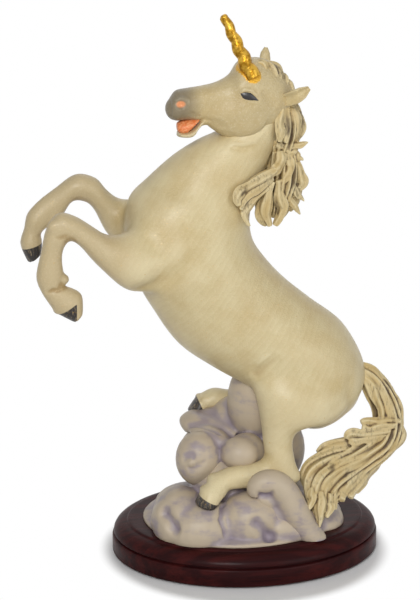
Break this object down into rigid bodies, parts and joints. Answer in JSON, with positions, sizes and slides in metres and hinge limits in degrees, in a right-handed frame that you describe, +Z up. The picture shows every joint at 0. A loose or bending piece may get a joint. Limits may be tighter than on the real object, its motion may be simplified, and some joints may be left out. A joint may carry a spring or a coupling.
{
  "type": "unicorn figurine",
  "caption": "Carved wooden unicorn with a twisted gilded horn, rearing on curling clouds above an oval moulded plinth that rests on a flat felt pad.",
  "frame": {"origin": "middle of the felt pad's underside, where the figurine stands on a surface", "axes": "+Z up along the height, -X the way the unicorn looks, -Y its near side as pictured"},
  "size_m": [0.1682, 0.098, 0.2425],
  "materials": {
    "felt": "pressed felt",
    "plinth_lacquer": "dark red-brown stain under gloss lacquer",
    "steel": "zinc plated",
    "cloud_paint": "pearly lilac white paint",
    "ivory_lacquer": "carved pale wood under ivory glaze and satin lacquer, hooves painted dark",
    "mane_paint": "ivory paint with a brown wash in the carved grooves",
    "gilding": "gold leaf",
    "dowel_wood": "bare beech"
  },
  "bodies": {
    "root": {"felt_pad": "felt", "plinth": "plinth_lacquer", "plinth_screws": "steel", "hoof_pins": "steel", "cloud_mound": "cloud_paint", "cloud_crest": "cloud_paint", "cloud_scroll": "cloud_paint", "torso": "ivory_lacquer", "neck": "ivory_lacquer", "head": "ivory_lacquer", "near_ear": "ivory_lacquer", "far_ear": "ivory_lacquer", "near_foreleg": "ivory_lacquer", "far_foreleg": "ivory_lacquer", "near_hind_leg": "ivory_lacquer", "far_hind_leg": "ivory_lacquer", "tail": "mane_paint", "forelock": "mane_paint", "upper_mane": "mane_paint", "lower_mane": "mane_paint", "mane_locks": "mane_paint", "horn": "gilding", "neck_dowel": "dowel_wood", "head_dowel": "dowel_wood", "foreleg_dowels": "dowel_wood", "hind_leg_dowels": "dowel_wood", "tail_dowel": "dowel_wood", "cloud_dowels": "dowel_wood"}
  },
  "joints": []
}
